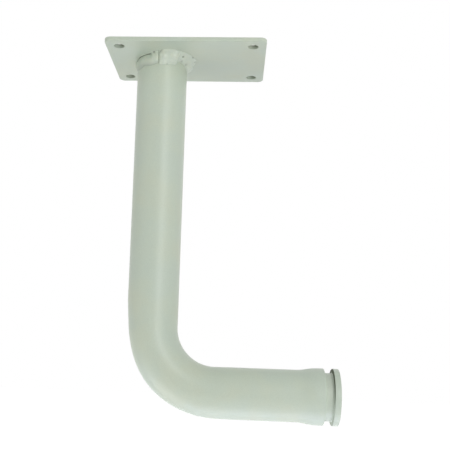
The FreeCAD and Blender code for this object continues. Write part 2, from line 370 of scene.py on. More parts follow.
class Mesher:
    """Writes meshes: closed, outward and smooth, with their places in their vertices."""

    @staticmethod
    def show(name: str, data: bpy.types.ID) -> bpy.types.Object:
        """Put a mesh, a lamp or a camera into the scene.

        Args:
            name: The object's name.
            data: The mesh, lamp or camera.

        Returns:
            The new object.
        """
        made = bpy.data.objects.new(name, data)
        bpy.context.scene.collection.objects.link(made)
        return made

    @staticmethod
    def mark(mesh: bpy.types.Mesh, **marks: Sequence[float]) -> None:
        """Write marks on a mesh's points.

        Args:
            mesh: The mesh.
            **marks: The marks by name, with one number for each point, or three for a vector.
        """
        for name, values in marks.items():
            is_vector = len(values) == 3 * len(mesh.vertices)
            layer = mesh.attributes.new(name, "FLOAT_VECTOR" if is_vector else "FLOAT", "POINT")
            layer.data.foreach_set("vector" if is_vector else "value", values)

    @staticmethod
    def piece(name: str, points: Sequence[Point], faces: Sequence[Sequence[int]]) -> bpy.types.Object:
        """Write a closed mesh.

        Args:
            name: The piece's name.
            points: Points in millimetres.
            faces: Corners of each face, as places in the list of points.

        Returns:
            The new object, linked to the scene.
        """
        mesh = bpy.data.meshes.new(name)
        mesh.from_pydata([(x * MM, y * MM, z * MM) for x, y, z in points], [], faces)
        clean = bmesh.new()
        clean.from_mesh(mesh)
        bmesh.ops.remove_doubles(clean, verts=clean.verts, dist=SAME_PLACE)
        bmesh.ops.recalc_face_normals(clean, faces=clean.faces)
        clean.to_mesh(mesh)
        clean.free()
        for polygon in mesh.polygons:
            polygon.use_smooth = True
        return Mesher.show(name, mesh)

    @staticmethod
    def grid(rows: int, columns: int, close_rows: bool, close_columns: bool) -> list[tuple[int, int, int, int]]:
        """Join rows of points by four-sided faces.

        Args:
            rows: How many rows there are.
            columns: How many points a row has.
            close_rows: Whether the last row joins the first.
            close_columns: Whether each row is a closed loop.

        Returns:
            The faces.
        """
        faces = []
        for row in range(rows if close_rows else rows - 1):
            upper = (row + 1) % rows
            for column in range(columns if close_columns else columns - 1):
                right = (column + 1) % columns
                faces.append((row * columns + column, row * columns + right,
                              upper * columns + right, upper * columns + column))
        return faces

    @staticmethod
    def settle(made: bpy.types.Object) -> bpy.types.Object:
        """Turn an object's modifiers into plain mesh and take them off.

        Args:
            made: The object with its modifiers.

        Returns:
            The same object, with a plain mesh.
        """
        bpy.context.view_layer.update()
        graph = bpy.context.evaluated_depsgraph_get()
        plain = bpy.data.meshes.new_from_object(made.evaluated_get(graph), depsgraph=graph)
        made.modifiers.clear()
        plain.name = made.name
        made.data = plain
        return made

    @staticmethod
    def rounded(profile: Sequence[tuple[float, float, float]], steps: int = 5) -> list[Pair]:
        """Round the corners of a closed profile.

        Args:
            profile: Corners as across, along and the radius to round them by.
            steps: Points along each rounded corner.

        Returns:
            The profile's points, without a repeat at the end.
        """
        points: list[Pair] = []
        count = len(profile)
        for place in range(count):
            before, corner, after = (Vector(profile[(place + shift) % count][:2]) for shift in (-1, 0, 1))
            radius = profile[place][2]
            if radius <= 0.0:
                points.append((corner.x, corner.y))
                continue
            back, ahead = (before - corner).normalized(), (after - corner).normalized()
            half = math.acos(max(-1.0, min(1.0, back.dot(ahead)))) / 2.0
            reach = radius / math.tan(half)
            centre = corner + (back + ahead).normalized() * (radius / math.sin(half))
            start, end = corner + back * reach - centre, corner + ahead * reach - centre
            sweep = start.angle_signed(end)
            for step in range(steps + 1):
                turned = start.copy()
                turned.rotate(Matrix.Rotation(-sweep * step / steps, 2))
                points.append((centre.x + turned.x, centre.y + turned.y))
        return points


@dataclass
class TubeSizes:
    """Sizes that the tube, the weld and the fitting share."""

    axis_x: float = -25.0
    plate_underside: float = -4.0
    outside_radius: float = 24.15
    wall: float = 2.6
    bend_radius: float = 61.0
    arm_z: float = -323.75
    flare_start: float = 110.0
    flare_end: float = 130.6
    mouth_end: float = 136.4
    mouth_radius: float = 26.25

    @property
    def bend_centre(self) -> Pair:
        """The bend's centre, along and up."""
        return (self.axis_x + self.bend_radius, self.arm_z + self.bend_radius)

    def reach(self, along: float) -> float:
        """The outside radius of the arm at a place along it.

        Args:
            along: Place along the arm.

        Returns:
            The radius there, with the swage's two arcs.
        """
        run = self.flare_end - self.flare_start
        rise = self.mouth_radius - self.outside_radius
        arc = (run * run + rise * rise) / (4.0 * rise)
        offset = min(max(along - self.flare_start, 0.0), run)
        if offset <= run / 2.0:
            return self.outside_radius + arc - math.sqrt(arc * arc - offset * offset)
        return self.mouth_radius - arc + math.sqrt(arc * arc - (run - offset) ** 2)


@dataclass
class MountingPlate:
    """The steel plate with four bolt holes and the cable's hole."""

    length: float = 150.0
    width: float = 100.0
    thickness: float = 4.0
    corner_radius: float = 6.0
    corner_steps: int = 14
    edge_softness: float = 0.8
    soft_steps: int = 5
    bolt_hole_radius: float = 5.0
    bolt_spacing: Pair = (125.0, 75.0)
    bolt_hole_steps: int = 56
    cable_hole_radius: float = 20.0
    cable_hole_x: float = -25.0
    cable_hole_steps: int = 96
    hole_softness: float = 0.12
    hole_film: float = 0.16
    margin: float = 0.5
    # Where and how strongly the painted shade in the bolt holes lies.
    shade_heights: Pair = (-0.75, -0.2)
    shade_sides: Pair = (-0.8, 0.9)
    side_shade: float = 0.35
    finish: PlateCoat = field(default_factory=PlateCoat)

    def outline(self) -> Contour:
        """The plate's rounded rectangle, as points with their outward directions.

        Returns:
            Point and direction pairs, anticlockwise from below the right side.
        """
        loop = []
        inner = (self.length / 2.0 - self.corner_radius, self.width / 2.0 - self.corner_radius)
        for corner, (across, along) in enumerate(((1, -1), (1, 1), (-1, 1), (-1, -1))):
            for step in range(self.corner_steps + 1):
                out = heading((corner - 1) * math.pi / 2.0 + step / self.corner_steps * math.pi / 2.0)
                loop.append((Vector((across * inner[0], along * inner[1])) + out * self.corner_radius, out))
        return loop

    def hole(self, x: float, y: float, radius: float, steps: int) -> Contour:
        """One round hole, as points with directions out of the steel."""
        outs = [heading(-2.0 * math.pi * step / steps) for step in range(steps)]
        return [(Vector((x, y)) + out * radius, -out) for out in outs]

    def walls(self, loop: Contour, softness: float, points: list[Point],
              faces: list[tuple[int, ...]]) -> tuple[list[int], list[int]]:
        """Build the wall along one contour, with both of its edges softened.

        Args:
            loop: The contour.
            softness: Radius of its edges.
            points: The plate's points, added to.
            faces: The plate's faces, added to.

        Returns:
            The point numbers of the wall's rims on the underside and on the top.
        """
        section = [(softness + self.margin, -self.thickness)]
        for step in range(self.soft_steps + 1):
            turn = step / self.soft_steps * math.pi / 2.0
            section.append((softness * (1.0 - math.sin(turn)), -self.thickness + softness * (1.0 - math.cos(turn))))
        section += [(inset, -self.thickness - height) for inset, height in reversed(section)]
        first, count = len(points), len(loop)
        points += [(place.x - out.x * inset, place.y - out.y * inset, height)
                   for inset, height in section for place, out in loop]
        faces += [tuple(first + corner for corner in face) for face in Mesher.grid(len(section), count, False, True)]
        last = len(points) - count
        return list(range(first, first + count)), list(range(last, last + count))

    def build(self) -> bpy.types.Object:
        """Build the plate's mesh.

        Returns:
            The plate.
        """
        points: list[Point] = []
        faces: list[tuple[int, ...]] = []
        holes = [self.hole(self.cable_hole_x, 0.0, self.cable_hole_radius, self.cable_hole_steps)]
        holes += [self.hole(x * self.bolt_spacing[0], y * self.bolt_spacing[1],
                            self.bolt_hole_radius - self.hole_film, self.bolt_hole_steps)
                  for x in (-0.5, 0.5) for y in (-0.5, 0.5)]
        rims = [self.walls(self.outline(), self.edge_softness, points, faces)]
        rims += [self.walls(hole, self.hole_softness, points, faces) for hole in holes]
        for level in (0, 1):
            self.cover([rim[level] for rim in rims], points, faces)
        made = Mesher.piece("steel_plate", points, faces)
        self.paint_hole_shade(made)
        return made

    @staticmethod
    def cover(rims: list[list[int]], points: list[Point], faces: list[tuple[int, ...]]) -> None:
        """Cover the flat between the outline's rim and the holes' rims.

        Args:
            rims: Point numbers of each rim, the outline's first.
            points: The plate's points.
            faces: The plate's faces, added to.
        """
        numbers = [number for rim in rims for number in rim]
        edges = []
        start = 0
        for rim in rims:
            edges += [(start + step, start + (step + 1) % len(rim)) for step in range(len(rim))]
            start += len(rim)
        solved = delaunay_2d_cdt([Vector(points[number][:2]) for number in numbers], edges, [], 1, FLAT_TOLERANCE)
        origin = [numbers[source[0]] for source in solved[3]]
        holes = [set(rim) for rim in rims[1:]]
        for face in solved[2]:
            corners = tuple(origin[corner] for corner in face)
            if not any(rim.issuperset(corners) for rim in holes):
                faces.append(corners)

    def paint_hole_shade(self, made: bpy.types.Object) -> None:
        """Mark painted shade on the walls of the bolt holes, more towards the top and the arm's side.

        Args:
            made: The plate.
        """
        marks = []
        reach = self.bolt_hole_radius + self.hole_softness * 0.5
        for vertex in made.data.vertices:
            place = vertex.co / MM
            off = Vector([at - math.copysign(apart / 2.0, at) for at, apart in zip(place, self.bolt_spacing)])
            upper = ramp(place.z / self.thickness, *self.shade_heights)
            side = ramp(off.x / self.bolt_hole_radius, *self.shade_sides)
            mark = upper * (self.side_shade + (1.0 - self.side_shade) * side) + self.side_shade * side * side
            marks.append(mark if off.length < reach else 0.0)
        Mesher.mark(made.data, painted_shade=marks)

    def dress(self, made: bpy.types.Object) -> None:
        """Give the plate its coat and its place in the part.

        Args:
            made: The plate.
        """
        made.data.materials.append(self.finish.material())
        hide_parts("mounting_plate")
        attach(made, BODY)


@dataclass
class BentTube:
    """The drawn tube: leg, bend and arm, with the arm's mouth swaged out. It is swept along its own path."""

    sizes: TubeSizes = field(default_factory=TubeSizes)
    steps_round: int = 144
    leg_steps: int = 66
    bend_steps: int = 73
    arm_steps: tuple[int, int, int] = (22, 25, 8)
    outer_flattening: float = 0.1
    inner_flattening: float = 0.015
    side_swell: float = 0.012
    outer_pull: Pair = (-26.0, 16.0)
    outer_ease: Pair = (8.0, 46.0)
    outer_end: Pair = (64.0, 104.0)
    ease_share: float = 0.6
    inner_pull: Pair = (-14.0, 30.0)
    inner_end: Pair = (62.0, 104.0)
    rim_softness: float = 0.7
    rim_steps: int = 4
    rim_angle: float = 50.0
    finish: PowderCoat = field(default_factory=PowderCoat)

    def stations(self) -> list[tuple[Vector, Vector, float, float]]:
        """Places along the path, with what the sweep needs at each.

        Returns:
            For each place its centre, its direction out of the bend, its radius and its degrees along the bend,
            below 0 on the leg and over 90 on the arm.
        """
        sizes = self.sizes
        centre_x, centre_z = sizes.bend_centre
        found = []
        for height in np.linspace(sizes.plate_underside, centre_z, self.leg_steps)[:-1]:
            found.append((Vector((sizes.axis_x, 0.0, height)), Vector((-1.0, 0.0, 0.0)), sizes.outside_radius,
                          math.degrees((centre_z - height) / sizes.bend_radius)))
        for degrees in np.linspace(0.0, 90.0, self.bend_steps):
            turn = math.radians(degrees)
            out = Vector((-math.cos(turn), 0.0, -math.sin(turn)))
            found.append((Vector((centre_x, 0.0, centre_z)) + out * sizes.bend_radius, out, sizes.outside_radius,
                          float(degrees)))
        stops = (centre_x, sizes.flare_start, sizes.flare_end, sizes.mouth_end)
        for start, end, steps in zip(stops, stops[1:], self.arm_steps):
            for along in np.linspace(start, end, steps)[1:]:
                found.append((Vector((along, 0.0, sizes.arm_z)), Vector((0.0, 0.0, -1.0)), sizes.reach(along),
                              90.0 + math.degrees((along - centre_x) / sizes.bend_radius)))
        return found

    def outer_squeeze(self, degrees: float) -> float:
        """The outer wall's share of flattening at a place along the bend: most where the bender first pulled."""
        eased = self.ease_share * ramp(degrees, *self.outer_ease)
        return ramp(degrees, *self.outer_pull) - eased - (1.0 - self.ease_share) * ramp(degrees, *self.outer_end)

    def inner_squeeze(self, degrees: float) -> float:
        """The inner wall's share of flattening at a place along the bend."""
        return ramp(degrees, *self.inner_pull) * (1.0 - ramp(degrees, *self.inner_end))

    def path(self) -> bpy.types.Object:
        """Write the path as a line of points that carry the sweep's marks.

        Returns:
            The path.
        """
        centres, outs, reaches, degrees = zip(*self.stations())
        mesh = bpy.data.meshes.new("bent_steel_tube")
        mesh.from_pydata([centre * MM for centre in centres],
                         [(place, place + 1) for place in range(len(centres) - 1)], [])
        Mesher.mark(mesh, reach=[reach * MM for reach in reaches],
                    outer_share=[self.outer_squeeze(place) for place in degrees],
                    inner_share=[self.inner_squeeze(place) for place in degrees],
                    centre=[part * MM for centre in centres for part in centre],
                    outward=[part for out in outs for part in out])
        return Mesher.show("bent_steel_tube", mesh)

    def sweep(self) -> ShapeTree:
        """Build the tree that sweeps a flattened circle along the path.

        Returns:
            The tree.
        """
        tree = ShapeTree("tube_sweep", steps_round=self.steps_round, outer_flattening=self.outer_flattening,
                         inner_flattening=self.inner_flattening, side_swell=self.side_swell,
                         finish=self.finish.material())
        given = tree.given
        line = tree.add("GeometryNodeMeshToCurve", Mesh=given["Geometry"])
        circle = tree.add("GeometryNodeCurvePrimitiveCircle", Radius=MM, Resolution=given["steps_round"])
        step = tree.sum("DIVIDE", 2.0 * math.pi, given["steps_round"])
        turn = tree.times(tree.add("GeometryNodeInputIndex").outputs[0], step)
        marked = tree.add("GeometryNodeStoreNamedAttribute", Geometry=circle.outputs["Curve"], Name="turn", Value=turn,
                          options={"data_type": "FLOAT", "domain": "POINT"})
        skin = tree.add("GeometryNodeCurveToMesh", Curve=line.outputs["Curve"],
                        Profile_Curve=marked.outputs["Geometry"])
        around, reach = tree.read("turn"), tree.read("reach")
        outer_share, inner_share = tree.read("outer_share"), tree.read("inner_share")
        towards_outside = tree.sum("COSINE", around)
        outer_side = tree.sum("MULTIPLY_ADD", towards_outside, 0.5, 0.5)
        outer = tree.times(given["outer_flattening"], outer_side, outer_share)
        inner = tree.times(given["inner_flattening"], tree.sum("SUBTRACT", 1.0, outer_side), inner_share)
        kept = tree.sum("SUBTRACT", 1.0, tree.sum("ADD", outer, inner))
        swollen = tree.sum("MULTIPLY_ADD", given["side_swell"], inner_share, 1.0)
        out_part = tree.scaled(tree.read("outward", "FLOAT_VECTOR"), tree.times(towards_outside, kept, reach))
        side_part = tree.add("ShaderNodeCombineXYZ", Y=tree.times(tree.sum("SINE", around), swollen, reach))
        ring = tree.add("ShaderNodeVectorMath", out_part, side_part.outputs["Vector"])
        placed = tree.add("ShaderNodeVectorMath", tree.read("centre", "FLOAT_VECTOR"), ring.outputs["Vector"])
        tree.close(Geometry=skin.outputs["Mesh"], Position=placed.outputs["Vector"])
        return tree

    def build(self) -> bpy.types.Object:
        """Sweep the tube, give it its wall and soften its rims.

        Returns:
            The tube.
        """
        made = self.sweep().run(self.path())
        self.face_outwards(made)
        wall = made.modifiers.new("wall", "SOLIDIFY")
        wall.thickness = self.sizes.wall * MM
        wall.offset = -1.0
        wall.use_even_offset = True
        soft = made.modifiers.new("rims", "BEVEL")
        soft.width = self.rim_softness * MM
        soft.segments = self.rim_steps
        soft.limit_method = "ANGLE"
        soft.angle_limit = math.radians(self.rim_angle)
        Mesher.settle(made)
        for name in ("reach", "outer_share", "inner_share", "centre", "outward", "turn"):
            made.data.attributes.remove(made.data.attributes[name])
        return made

    def face_outwards(self, made: bpy.types.Object) -> None:
        """Turn the swept skin's faces away from the tube's axis.

        Args:
            made: The swept skin.
        """
        mesh = made.data
        centres = mesh.attributes["centre"].data
        face = mesh.polygons[len(mesh.polygons) // 3]
        away = face.center - Vector(centres[face.vertices[0]].vector)
        if face.normal.dot(away) < 0.0:
            mesh.flip_normals()

    def dress(self, made: bpy.types.Object) -> None:
        """Give the tube its place in the part; the sweep has painted it.

        Args:
            made: The tube.
        """
        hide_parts("bent_tube")
        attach(made, BODY)


@dataclass
class EndSpigot:
    """The turned fitting: pilot, collar, neck and lip in one piece, with the cable's outlet through it."""

    sizes: TubeSizes = field(default_factory=TubeSizes)
    pilot_start: float = 98.0
    pilot_bore: float = 19.5
    outlet_bore: float = 18.0
    neck_radius: float = 22.25
    lip_start: float = 144.0
    lip_end: float = 150.0
    lip_radius: float = 26.25
    lip_chamfer: float = 0.6
    turned_softness: float = 0.3
    outlet_softness: float = 0.45
    lip_softness: float = 0.25
    groove_softness: float = 0.5
    neck_softness: float = 0.35
    steps_round: int = 160
    flatness: int = 100
    # How strong the painted shade on the lip's back face is and where it lies, and where the painted light on the neck
    # lies.
    shade_share: float = 0.95
    least_shade: float = 0.25
    shade_span: float = 14.0
    face_reach: float = 0.7
    face_foot: float = 0.4
    neck_skin: float = 0.6
    neck_margin: float = 0.1
    finish: FittingCoat = field(default_factory=FittingCoat)

    def profile(self) -> list[Pair]:
        """The half section, along the arm and out from its axis.

        Returns:
            A closed list of points.
        """
        sizes = self.sizes
        bore = sizes.outside_radius - sizes.wall
        mouth_bore = sizes.mouth_radius - sizes.wall
        soft, lip_soft = self.turned_softness, self.lip_softness
        cut = self.lip_chamfer
        return Mesher.rounded([
            (self.pilot_start, self.pilot_bore, soft), (sizes.mouth_end, self.pilot_bore, 0.0),
            (sizes.mouth_end, self.outlet_bore, soft), (self.lip_end, self.outlet_bore, self.outlet_softness),
            (self.lip_end, self.lip_radius - cut, lip_soft), (self.lip_end - cut, self.lip_radius, lip_soft),
            (self.lip_start + cut, self.lip_radius, lip_soft), (self.lip_start, self.lip_radius - cut, lip_soft),
            (self.lip_start, self.neck_radius, self.groove_softness),
            (sizes.mouth_end, self.neck_radius, self.neck_softness),
            (sizes.mouth_end, mouth_bore, 0.0), (sizes.flare_end, mouth_bore, soft),
            (sizes.flare_end, bore, soft), (self.pilot_start, bore, soft),
        ])

    def build(self) -> bpy.types.Object:
        """Turn the half section round the arm's axis.

        Returns:
            The fitting.
        """
        half = self.profile()
        points = []
        for step in range(self.steps_round):
            turn = 2.0 * math.pi * step / self.steps_round
            points += [(along, out * math.cos(turn), self.sizes.arm_z + out * math.sin(turn)) for along, out in half]
        made = Mesher.piece("turned_end_fitting", points, Mesher.grid(self.steps_round, len(half), True, True))
        crease = made.modifiers.new("flats", "WEIGHTED_NORMAL")
        crease.weight = self.flatness
        Mesher.settle(made)
        self.paint_groove_light_and_shade(made)
        return made

    def paint_groove_light_and_shade(self, made: bpy.types.Object) -> None:
        """Mark painted shade on the lip's back face, most on its upper half, and painted light on the neck.

        Args:
            made: The fitting.
        """
        painted_shade, painted_light = [], []
        for vertex in made.data.vertices:
            place = vertex.co / MM
            height = place.z - self.sizes.arm_z
            above_neck = math.hypot(place.y, height) - self.neck_radius
            upper = ramp(height, -self.shade_span, self.shade_span)
            shade = self.shade_share * (self.least_shade + (1.0 - self.least_shade) * upper)
            on_face = abs(place.x - self.lip_start) < self.face_reach and above_neck > self.face_foot
            painted_shade.append(shade if on_face else 0.0)
            between = self.sizes.mouth_end - self.neck_margin < place.x < self.lip_start + self.neck_margin
            painted_light.append(1.0 if between and above_neck < self.neck_skin else 0.0)
        Mesher.mark(made.data, painted_shade=painted_shade, painted_light=painted_light)

    def dress(self, made: bpy.types.Object) -> None:
        """Give the fitting its coat and its place in the part.

        Args:
            made: The fitting.
        """
        made.data.materials.append(self.finish.material())
        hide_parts("end_spigot")
        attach(made, BODY)


@dataclass
class WeldRun:
    """One hand-laid run of weld, given at angles in degrees round the tube from the arm's direction.

    A knot is an angle and the distances of the toes on the plate and on the tube from the joint's corner. An entry
    of the undercut is an angle and the depth and drop of the gap over the plate.
    """

    knots: list[tuple[float, float, float]]
    fullness: float = 1.35
    start_nose: float = 5.0
    end_nose: float = 5.0
    # Painted shade along the run's toe on the tube.
    toe_shade: float = 0.06
    undercut: list[tuple[float, float, float]] = field(default_factory=list)

    def toe(self, degrees: float, column: int) -> float:
        """The distance of the toe on the plate (1) or on the tube (2) from the joint's corner at an angle."""
        return float(np.interp(degrees, [knot[0] for knot in self.knots], [knot[column] for knot in self.knots]))

    def reach(self, degrees: float, rise: float) -> float:
        """How far the run stands out of the joint's corner.

        Args:
            degrees: Angle round the tube, from -180 to 180.
            rise: Direction in the section, 0 along the plate and 90 down the tube.

        Returns:
            The distance, 0 where the run isn't.
        """
        first, last = self.knots[0][0], self.knots[-1][0]
        turned = degrees + 360.0 if degrees < first else degrees
        if turned > last:
            return 0.0
        on_plate, down_tube = self.toe(turned, 1), self.toe(turned, 2)
        slant = math.radians(min(max(rise, 0.0), 90.0))
        power = self.fullness
        spread = (math.cos(slant) / on_plate) ** power + (math.sin(slant) / down_tube) ** power
        size = spread ** (-1.0 / power)
        nose = 1.0
        for distance, length in ((turned - first, self.start_nose), (last - turned, self.end_nose)):
            if distance < length:
                nose *= math.sqrt(max(0.0, 1.0 - (1.0 - distance / length) ** 2))
        return size * nose

    def gap(self, degrees: float) -> Pair:
        """How deep and how far down the section the gap between the run and the plate is at an angle.

        Args:
            degrees: Angle round the tube.

        Returns:
            The depth as a share from 0 to 1, and the drop in degrees of rise.
        """
        if not self.undercut:
            return 0.0, 0.0
        places, depths, drops = zip(*self.undercut)
        turned = degrees + 360.0 if degrees < places[0] - 180.0 else degrees
        return (float(np.interp(turned, places, depths, left=0.0, right=0.0)),
                float(np.interp(turned, places, drops)))


@dataclass
class Pit:
    """A small hole, dimple or lump that the molten steel left, with painted shade in it or a painted highlight on it;
    some are only a painted highlight.
    """

    degrees: float
    rise: float
    radius: float
    depth: float
    # Shares of painted shade in the pit and of painted highlight on the lump.
    dark: float = 0.0
    pale: float = 0.0


def weld_runs() -> list[WeldRun]:
    """Lay out the weld's four runs.

    Returns:
        The run up the left side, tall on the tube and hardly wetted to the plate; the one across the front, with a
        blunt end against it; the one round the right side; and an even one round the back, which the photograph
        doesn't show.
    """
    left = WeldRun([(-184.0, 2.4, 7.6), (-174.0, 2.1, 9.2), (-166.0, 1.9, 10.4), (-151.0, 1.7, 11.4),
                    (-142.0, 1.8, 11.2), (-131.0, 1.9, 9.9), (-120.0, 2.1, 10.7), (-107.0, 3.0, 10.7),
                    (-98.0, 3.2, 9.6), (-92.0, 3.0, 9.2)],
                   fullness=1.9, start_nose=10.0, end_nose=2.0, toe_shade=0.32,
                   undercut=[(-172.0, 0.0, 10.0), (-168.5, 0.9, 10.0), (-163.0, 1.0, 9.0), (-146.0, 0.95, 5.0),
                             (-134.0, 0.75, 2.0), (-124.0, 0.85, 0.0), (-115.0, 1.0, 0.0), (-110.5, 0.9, 0.0),
                             (-107.0, 0.3, 0.0), (-103.0, 0.12, 0.0), (-98.0, 0.0, 0.0)])
    front = WeldRun([(-92.5, 3.6, 10.4), (-89.0, 4.8, 10.7), (-84.0, 6.4, 10.7), (-77.0, 7.6, 10.2),
                     (-64.0, 9.0, 9.8), (-55.0, 7.8, 9.2), (-45.0, 7.0, 7.2)],
                    fullness=1.3, start_nose=1.7, end_nose=9.0)
    right = WeldRun([(-58.0, 7.4, 6.4), (-44.0, 8.3, 5.6), (-34.0, 8.5, 5.6), (-24.0, 9.0, 6.4), (-11.0, 8.5, 8.2),
                     (-4.0, 7.6, 8.8), (18.0, 5.1, 8.0), (41.0, 9.4, 7.6), (54.0, 8.0, 7.0)],
                    fullness=1.2, start_nose=9.0, end_nose=8.0)
    back = WeldRun([(44.0, 6.6, 6.6), (70.0, 7.2, 7.4), (100.0, 6.4, 7.9), (130.0, 7.0, 7.2), (155.0, 6.0, 7.8),
                    (172.0, 3.6, 8.0), (186.0, 2.4, 7.6)], start_nose=8.0, end_nose=8.0)
    return [left, front, right, back]


@dataclass
class PlateWeld:
    """The weld between tube and plate: four runs melted into one, with ripples, lumps and pits, and painted shade and
    highlights.
    """

    sizes: TubeSizes = field(default_factory=TubeSizes)
    runs: list[WeldRun] = field(default_factory=weld_runs)
    # The fifth and sixth numbers are painted shade and painted highlight; the last pit is only a painted highlight.
    pits: list[Pit] = field(default_factory=lambda: [
        Pit(-103.0, 8.0, 0.9, 0.9, 0.7), Pit(-42.5, 26.0, 0.8, 1.5, 0.8), Pit(-24.0, 2.0, 1.4, 1.1, 0.45),
        Pit(-5.5, 4.0, 1.3, 1.0, 0.45), Pit(-38.0, 82.0, 1.4, 0.5, 0.25), Pit(-22.0, 82.0, 1.4, 0.5, 0.35),
        Pit(-74.0, 89.0, 1.0, 0.2, 0.4), Pit(-107.0, 89.0, 1.2, 0.15, 0.35), Pit(-128.0, 89.0, 1.6, 0.15, 0.35),
        Pit(-143.0, 89.0, 1.8, 0.15, 0.3), Pit(-88.8, 10.0, 0.7, 0.4, 0.4),
        Pit(-87.0, 4.0, 0.7, 0.4, 0.45), Pit(-85.0, 1.0, 0.7, 0.3, 0.35), Pit(-80.0, 43.0, 1.5, -0.2, 0.0, 0.9),
        Pit(-79.0, 79.0, 1.5, -0.2, 0.0, 0.45), Pit(-62.0, 27.0, 1.7, -0.2, 0.0, 0.8),
        Pit(-61.0, 9.0, 1.4, -0.2, 0.0, 0.6), Pit(-87.5, 42.0, 1.4, 0.0, 0.0, 0.65),
    ])
    steps_round: int = 960
    steps_across: int = 34
    section_ends: Pair = (-6.0, 96.0)
    sink: float = 0.6
    least_reach: float = 0.25
    melt: float = 12.0
    wetting: float = 0.16
    foot_spread: float = 7.0
    gap_depth: float = 0.66
    gap_opens: Pair = (10.0, 26.0)
    gap_closes: Pair = (50.0, 74.0)
    # These place the painted shade: in the gap, and along the toe on the tube.
    gap_darkens: Pair = (34.0, 48.0)
    gap_fades: Pair = (1.4, 2.4)
    toe_rise: float = 89.0
    toe_spread: float = 6.0
    toe_probe: float = 60.0
    toe_sizes: Pair = (0.5, 3.0)
    pit_standoff: float = 3.0
    tail_depth: float = 3.0
    foot_reach: float = 2.0
    swell: float = 0.6
    ripple_pitch: float = 2.1
    ripple_height: float = 0.16
    ripple_edge: float = 0.35
    ripple_lag: float = 2.4
    ripple_wander: float = 3.2
    lump_size: float = 5.0
    lump_height: float = 1.2
    seed: float = 4.0
    finish: WeldCoat = field(default_factory=WeldCoat)

    def melted(self, degrees: float, rise: float) -> Pair:
        """Melt the runs together at one place and cut the gap into them.

        Args:
            degrees: Angle round the tube.
            rise: Direction in the section.

        Returns:
            Distance from the joint's corner, and how much painted shade the place gets, in the gap and along the toe on
            the tube.
        """
        joined = sum(run.reach(degrees, rise) ** self.melt for run in self.runs) ** (1.0 / self.melt)
        gaps = [run.gap(degrees) for run in self.runs]
        on_plate = math.exp(-(rise / self.foot_spread) ** 2) * (1.0 - max(depth for depth, _ in gaps))
        joined *= 1.0 + self.wetting * (on_plate + math.exp(-((90.0 - rise) / self.foot_spread) ** 2))
        dark = 0.0
        for run, (depth, drop) in zip(self.runs, gaps):
            cut = depth * (1.0 - ramp(rise - drop, *self.gap_closes))
            joined *= 1.0 - self.gap_depth * cut * ramp(rise, *self.gap_opens)
            # Painted shade in the gap, and below it painted shade along the toe on the tube.
            gap_shade = cut * ramp(rise - drop, *self.gap_darkens) * (1.0 - ramp(joined, *self.gap_fades))
            toe = run.toe_shade * math.exp(-((self.toe_rise - rise) / self.toe_spread) ** 2)
            dark = max(dark, gap_shade, toe * ramp(run.reach(degrees, self.toe_probe), *self.toe_sizes))
        return joined, dark

    def craters(self) -> list[tuple[Pit, Vector]]:
        """Find where each pit lies in its own section: out from the joint's corner and down the tube."""
        return [(pit, heading(math.radians(pit.rise)) * self.melted(pit.degrees, pit.rise)[0]) for pit in self.pits]

    def surface(self, degrees: float, rise: float, craters: list[tuple[Pit, Vector]]) -> tuple[float, float, float]:
        """Press the pits into the melted runs at one place, with their painted shade and highlights.

        Args:
            degrees: Angle round the tube.
            rise: Direction in the section.
            craters: Each pit with its place in the section.

        Returns:
            Distance from the joint's corner, and how much painted shade and painted highlight the place gets.
        """
        joined, dark = self.melted(degrees, rise)
        pale = 0.0
        place = heading(math.radians(rise)) * joined
        circle = self.sizes.outside_radius + self.pit_standoff
        for pit, centre in craters:
            around = math.radians((degrees - pit.degrees + 180.0) % 360.0 - 180.0) * circle
            share = math.exp(-(around * around + (place - centre).length_squared) / (pit.radius * pit.radius))
            joined -= pit.depth * share
            # Painted shade in the pits and painted highlight on the lumps.
            dark = max(dark, pit.dark * share)
            pale = max(pale, pit.pale * share)
        return max(joined, self.least_reach), dark, pale

    def blank(self) -> bpy.types.Object:
        """Write the weld's smooth form as a closed ring with marks for the ripples, the painted shade and the painted
        highlights.

        Returns:
            The ring.
        """
        radius, corner, sink = self.sizes.outside_radius, self.sizes.plate_underside, self.sink
        rises = [float(rise) for rise in np.linspace(*self.section_ends, self.steps_across)]
        buried = [(out, height, 0.0, 0.0, 0.0) for out, height in (
            (radius - sink, corner - self.tail_depth), (radius - sink, corner + sink),
            (radius + self.foot_reach, corner + sink))]
        craters = self.craters()
        rows = []
        for step in range(self.steps_round):
            degrees = 360.0 * step / self.steps_round - 180.0
            turn = math.radians(degrees)
            section = []
            for rise in rises:
                reach, dark, pale = self.surface(degrees, rise, craters)
                slant = math.radians(rise)
                section.append((radius + reach * math.cos(slant), corner - reach * math.sin(slant), dark, pale,
                                math.sin(math.pi * min(max(rise / 90.0, 0.0), 1.0)) ** self.swell))
            for out, height, *marks in section + buried:
                rows.append((self.sizes.axis_x + out * math.cos(turn), out * math.sin(turn), height, *marks,
                             turn * radius))
        made = Mesher.piece("plate_weld_bead", [row[:3] for row in rows],
                            Mesher.grid(self.steps_round, len(rises) + len(buried), True, True))
        # The painted shade and painted highlight marks, then the ripples' places across and along.
        painted_shade, painted_light, across, along = list(zip(*rows))[3:]
        Mesher.mark(made.data, painted_shade=painted_shade, painted_light=painted_light, across=across, along=along)
        return made

